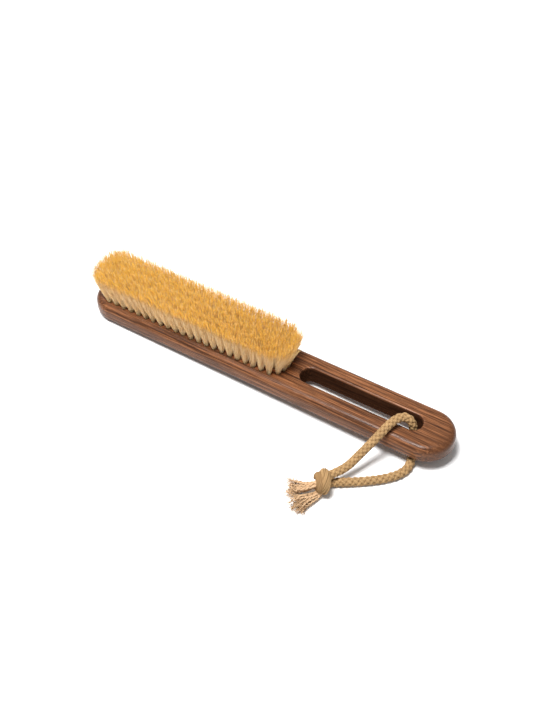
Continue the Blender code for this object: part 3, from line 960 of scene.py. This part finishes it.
class BRUSH_OT_knot(bpy.types.Operator):
    """Wrap the rope's knot."""
    bl_idname = "clothes_brush.knot"
    bl_label = "Knot"

    def execute(self, context):
        rope = context.scene.brush_rope
        ahead = np.array((math.cos(KNOT_HEADING), math.sin(KNOT_HEADING), 0))
        aside = np.array((-ahead[1], ahead[0], 0))
        up = np.array((0, 0, 1.0))
        centre = np.array(KNOT_CENTRE)
        stops = (-0.6, -0.35, 0.1, 0.5, 0.9, 1.3, 1.60)
        turns = np.linspace(stops[0], stops[-1], 60)
        angle = turns * math.tau
        along = np.interp(turns, stops, (-0.5, -1.6, -2.4, -1.9, 1.2, 2.9, 3.3)) * MM
        wide = np.interp(turns, stops, (2.6, 6.8, 7.4, 7.4, 6.9, 6.3, 2.6)) * MM
        high = np.interp(turns, stops, (1.6, 5.6, 6.8, 6.6, 6.0, 5.7, 1.6)) * MM
        along -= KNOT_SLANT * np.sin(angle)
        line = (centre + ahead * along[:, None] + aside * (wide * np.cos(angle))[:, None]
                + up * (high * np.sin(angle))[:, None])
        line[:, 2] = np.maximum(line[:, 2], rope.diameter / 2)
        line = smooth_line(line[::3], 0.0007)
        ring = np.interp(np.linspace(0, 1, len(line)), (0, 0.3, 0.6, 1), (2.6, 3.3, 3.1, 2.6))
        rng = np.random.default_rng(KNOT_SEED)
        lines, radii = [], []
        for strand in laid_lines(line, ring * MM, KNOT_YARNS, KNOT_LAY):
            walk = rng.normal(0, KNOT_DRIFT, (9, 3))
            step = np.linspace(0, 1, len(strand))
            drift = np.stack([np.interp(step, np.linspace(0, 1, len(walk)), walk[:, axis])
                              for axis in range(3)], 1)
            lines.append(strand + drift)
            radii.append(rng.uniform(*KNOT_YARN_RADII))
        hemp = hemp_material("knotted_hemp", rope.hemp, rope.shade, length=110.0,
                             twist=0.2)
        mesh = strands_mesh("wrapped_knot", [*lines, line], [*radii, KNOT_CORE],
                            WRAP_SEED, middle=line, reach=KNOT_REACH)
        knot = add_object("wrapped_knot", mesh, hemp)
        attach(knot, "root")
        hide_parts("rope_knot")
        return {"FINISHED"}


class BRUSH_OT_tails(bpy.types.Operator):
    """Open the rope's two ends into yarns and fibres."""
    bl_idname = "clothes_brush.tails"
    bl_label = "Frayed tails"

    def execute(self, context):
        rope = context.scene.brush_rope
        hemp = hemp_material("frayed_hemp", rope.frayed, rope.shade, length=30.0,
                             twist=0.25)
        rng = np.random.default_rng(TAIL_SEED)
        for number, route in enumerate(TAIL_ROUTES, start=1):
            line = smooth_line(np.array(route) * MM, 0.00035)
            lines, radii = [], []
            for strand in braid_lines(line, rope):
                for ply in range(YARNS):
                    yarn = opened_yarn(line, strand, ply, rng)
                    lines.append(yarn)
                    radii.append(np.linspace(*YARN_TAPER, len(yarn)))
                    for _ in range(FIBRES):
                        lines.append(loose_fibre(yarn, rng))
                        radii.append(np.linspace(*FIBRE_TAPER, len(lines[-1])))
            mesh = strands_mesh(f"frayed_tail_{number}", lines, radii, FRAY_SEED + number)
            tail = add_object(f"frayed_tail_{number}", mesh, hemp)
            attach(tail, "root")
            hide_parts(f"rope_tail_{number}")
        return {"FINISHED"}


YARNS, YARN_RADIUS, YARN_LAY = 4, 0.00062, 9
FIBRES = 6  # loose ones from the end of a yarn
YARN_TAPER, FIBRE_TAPER = (0.00070, 0.00045), (0.00018, 0.00009)


def opened_yarn(middle, line, ply, rng):
    """One of a strand's yarns: in the braid at first, then loose, kinked and cut."""
    gone = np.linspace(0, 1, len(line))
    start = round_line(line, ply * math.tau / YARNS + gone * YARN_LAY, YARN_RADIUS)
    leaves = int(len(line) * rng.uniform(0.18, 0.36))
    away = start[leaves] - middle[leaves]
    side, up = carried_frame(middle)
    angle = math.atan2(away @ up[leaves], away @ side[leaves])
    free = np.clip((gone - gone[leaves]) / (1 - gone[leaves]), 0, 1)
    far = np.linalg.norm(away) * (1.12 + rng.uniform(0.6, 1.6) * free ** 0.8)
    loose = round_line(middle, angle + free * rng.normal(0, 0.45), far)
    loose += start[leaves] - loose[leaves]
    kinks = np.stack([np.sin(gone * rng.uniform(38, 62) + rng.uniform(0, math.tau))
                      * rng.uniform(0.0003, 0.0008) for _ in range(3)], 1)
    bend = rng.normal(0, 0.0016, (1, 3))
    loose += kinks * free[:, None] ** 0.5 + bend * free[:, None] ** 2
    yarn = np.where((gone < gone[leaves])[:, None], start, loose)
    yarn[:, 2] = np.maximum(yarn[:, 2], 0.0006)
    return yarn[:int(len(line) * rng.uniform(0.80, 1.0))]


def loose_fibre(yarn, rng):
    """A fine fibre that leaves the end of a yarn and curls."""
    begin = yarn[-1 - int(rng.integers(2, 14))]
    ahead = yarn[-1] - yarn[-8]
    ahead = ahead / np.linalg.norm(ahead) + rng.normal(0, 0.55, 3)
    curl = rng.normal(0, 0.7, 3)
    along = np.linspace(0, rng.uniform(0.0020, 0.0055), 9)[:, None]
    fibre = begin + ahead * along + curl * along ** 2 * 160
    fibre[:, 2] = np.maximum(fibre[:, 2], 0.0002)
    return fibre


class BRUSH_OT_declare_rope(bpy.types.Operator):
    """Works out the rope's line at a coarser spacing and its point in the slot; nothing more
    is done with them.
    """
    bl_idname = "clothes_brush.declare_rope"
    bl_label = "Rope facts"

    def execute(self, context):
        whole, split = rope_line(0.002)
        return {"FINISHED"}


STEPS = (BRUSH_OT_stage, BRUSH_OT_rope, BRUSH_OT_knot, BRUSH_OT_tails,
         BRUSH_OT_declare_rope, BRUSH_OT_body, BRUSH_OT_bristles, BRUSH_OT_wires)


class BRUSH_PT_panel(bpy.types.Panel):
    """The steps that make the brush, in order."""
    bl_idname = "BRUSH_PT_panel"
    bl_label = "Clothes brush"
    bl_space_type = "VIEW_3D"
    bl_region_type = "UI"
    bl_category = "Clothes brush"

    def draw(self, context):
        for step in STEPS:
            self.layout.operator(step.bl_idname)


SETTINGS = {"brush_body": BrushBodySettings, "brush_bristle": BrushBristleSettings,
            "brush_rope": BrushRopeSettings, "brush_stage": BrushStageSettings}
CLASSES = (*SETTINGS.values(), *STEPS, BRUSH_PT_panel)


def register():
    for each in CLASSES:
        bpy.utils.register_class(each)
    for name, kind in SETTINGS.items():
        setattr(bpy.types.Scene, name, PointerProperty(type=kind))


def unregister():
    for name in SETTINGS:
        delattr(bpy.types.Scene, name)
    for each in reversed(CLASSES):
        bpy.utils.unregister_class(each)


def main():
    register()
    for step in STEPS:
        family, name = step.bl_idname.split(".")
        getattr(getattr(bpy.ops, family), name)()
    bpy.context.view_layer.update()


if __name__ == "__main__":
    main()
